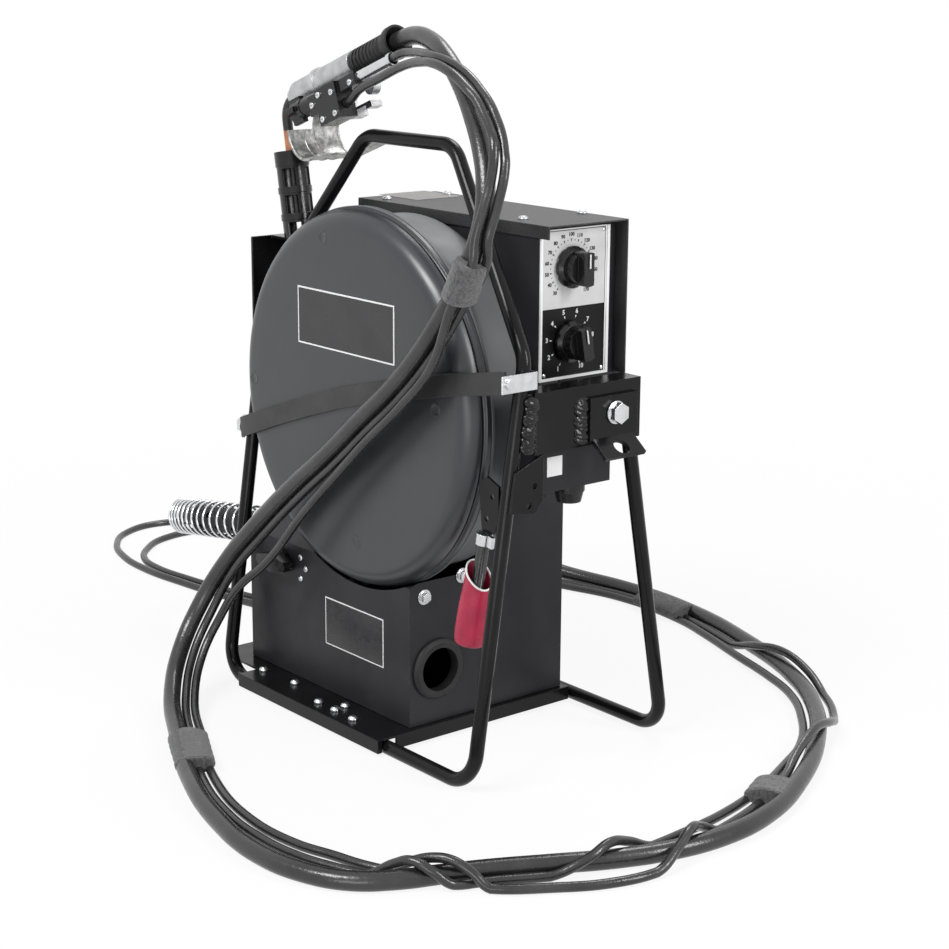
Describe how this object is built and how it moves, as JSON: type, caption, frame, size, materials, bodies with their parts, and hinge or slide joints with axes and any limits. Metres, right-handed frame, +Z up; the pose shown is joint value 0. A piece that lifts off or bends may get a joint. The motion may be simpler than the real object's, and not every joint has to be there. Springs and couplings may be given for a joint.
{
  "type": "portable welding wire feeder",
  "caption": "Portable welding wire feeder: bent tube frame with a covered wire drum, drive cabinet, dial box, and a parked gun on a long taped cable.",
  "frame": {"origin": "on the floor under the middle of the frame and base", "axes": "+Z up, +X towards the dial panel, -Y towards the drum lid"},
  "size_m": [1.1109, 0.7209, 0.6286],
  "materials": {
    "frame_black": "semi-gloss black powder coat",
    "cabinet_paint": "textured charcoal powder coat",
    "bright_steel": "zinc plated",
    "coil_wire": "drawn welding wire",
    "motor_grey": "satin grey",
    "cast_alloy": "as cast",
    "sheet_alloy": "bright sheet",
    "brass": "turned",
    "copper": "bare copper",
    "black_plastic": "moulded black",
    "drum_lid_grey": "moulded blue grey",
    "drum_shell_grey": "moulded grey",
    "board_green": "circuit board laminate",
    "rubber": "soft black rubber",
    "cable_jacket": "satin rubber jacket",
    "cloth_tape": "rough cloth tape",
    "boot_red": "red rubber"
  },
  "bodies": {
    "frame": {"base_plate": "frame_black", "base_screws": "bright_steel", "front_frame_tube": "frame_black", "rear_frame_tube": "frame_black", "cross_channel": "frame_black", "lug_bracket": "frame_black", "lug_bolt": "bright_steel", "breaker_box": "cabinet_paint", "cable_gland": "black_plastic", "gusset_plate": "frame_black", "lead_hanger": "frame_black", "band_clamp": "bright_steel", "lead_stub": "cable_jacket", "red_boot": "boot_red", "cabinet_shell": "cabinet_paint", "cabinet_fasteners": "bright_steel", "port_grommet": "rubber", "motor_bracket": "bright_steel", "drive_motor": "motor_grey", "gearbox": "cast_alloy", "wire_guides": "brass", "feed_wire": "bright_steel", "outlet_sleeve": "rubber", "spring_guard": "bright_steel", "lead_glands": "black_plastic", "drum_lid": "drum_lid_grey", "drum_shell": "drum_shell_grey", "spindle": "bright_steel", "spindle_nut": "black_plastic", "strap": "rubber", "strap_clip": "bright_steel", "strap_bolts": "bright_steel", "control_chassis": "cabinet_paint", "control_cover": "cabinet_paint", "dial_plate": "sheet_alloy", "potentiometers": "bright_steel", "circuit_board": "board_green", "cover_screws": "bright_steel", "holster_bracket": "frame_black", "holster": "black_plastic", "gun_body": "cast_alloy", "gun_boot": "rubber", "switch_box": "black_plastic", "hand_shield": "sheet_alloy", "conductor_tube": "copper", "gun_cable": "cable_jacket", "trigger_lead": "cable_jacket", "switch_lead": "cable_jacket", "tape_wraps": "cloth_tape"},
    "latch": {"turn_latch": "black_plastic"},
    "reel": {"wire_reel": "black_plastic", "wire_coil": "coil_wire"},
    "drive": {"drive_roll": "bright_steel"},
    "arm": {"pressure_arm": "bright_steel"},
    "idle": {"idle_roll": "bright_steel"},
    "speed_dial": {"speed_knob": "black_plastic"},
    "volts_dial": {"volts_knob": "black_plastic"},
    "trigger": {"trigger": "bright_steel"},
    "selector": {"selector_knob": "black_plastic"},
    "button": {"breaker_button": "black_plastic"}
  },
  "joints": [
    {"name": "reel_spin", "type": "hinge", "parent": "frame", "child": "reel", "pos_m": [-0.01, -0.056, 0.3034], "axis": [0, 1, 0], "continuous": true},
    {"name": "drive_spin", "type": "hinge", "parent": "frame", "child": "drive", "pos_m": [-0.128, -0.034, 0.12], "axis": [0, 1, 0], "continuous": true},
    {"name": "arm_lift", "type": "hinge", "parent": "frame", "child": "arm", "pos_m": [-0.156, -0.0247, 0.15], "axis": [0, -1, 0], "range_deg": [0, 5], "stiffness_Nm_per_rad": 1, "springref_deg": -17.19},
    {"name": "idle_spin", "type": "hinge", "parent": "arm", "child": "idle", "pos_m": [-0.128, -0.034, 0.1485], "axis": [0, 1, 0], "continuous": true},
    {"name": "speed_turn", "type": "hinge", "parent": "frame", "child": "speed_dial", "pos_m": [0.15, 0.031, 0.431], "axis": [1, 0, 0], "range_deg": [-150, 150]},
    {"name": "volts_turn", "type": "hinge", "parent": "frame", "child": "volts_dial", "pos_m": [0.15, 0.031, 0.367], "axis": [1, 0, 0], "range_deg": [-150, 150]},
    {"name": "latch_turn", "type": "hinge", "parent": "frame", "child": "latch", "pos_m": [-0.13, -0.0798, 0.127], "axis": [0, -1, 0], "range_deg": [0, 90]},
    {"name": "trigger_pull", "type": "hinge", "parent": "frame", "child": "trigger", "pos_m": [-0.08809, -0.034, 0.54958], "axis": [0, -1, 0], "range_deg": [0, 5], "stiffness_Nm_per_rad": 0.2, "springref_deg": -5.73},
    {"name": "selector_turn", "type": "hinge", "parent": "frame", "child": "selector", "pos_m": [-0.12104, -0.052, 0.55276], "axis": [0.9426, 0, 0.3338], "range_deg": [-45, 45]},
    {"name": "button_push", "type": "slide", "parent": "frame", "child": "button", "axis": [0, 0, 1], "range_m": [0, 0.004], "stiffness_N_per_m": 300, "springref_m": -0.002}
  ],
  "couplings": [
    {"joint": "drive_spin", "follows": "reel_spin", "ratio": -7.3529},
    {"joint": "idle_spin", "follows": "reel_spin", "ratio": 13.158}
  ]
}
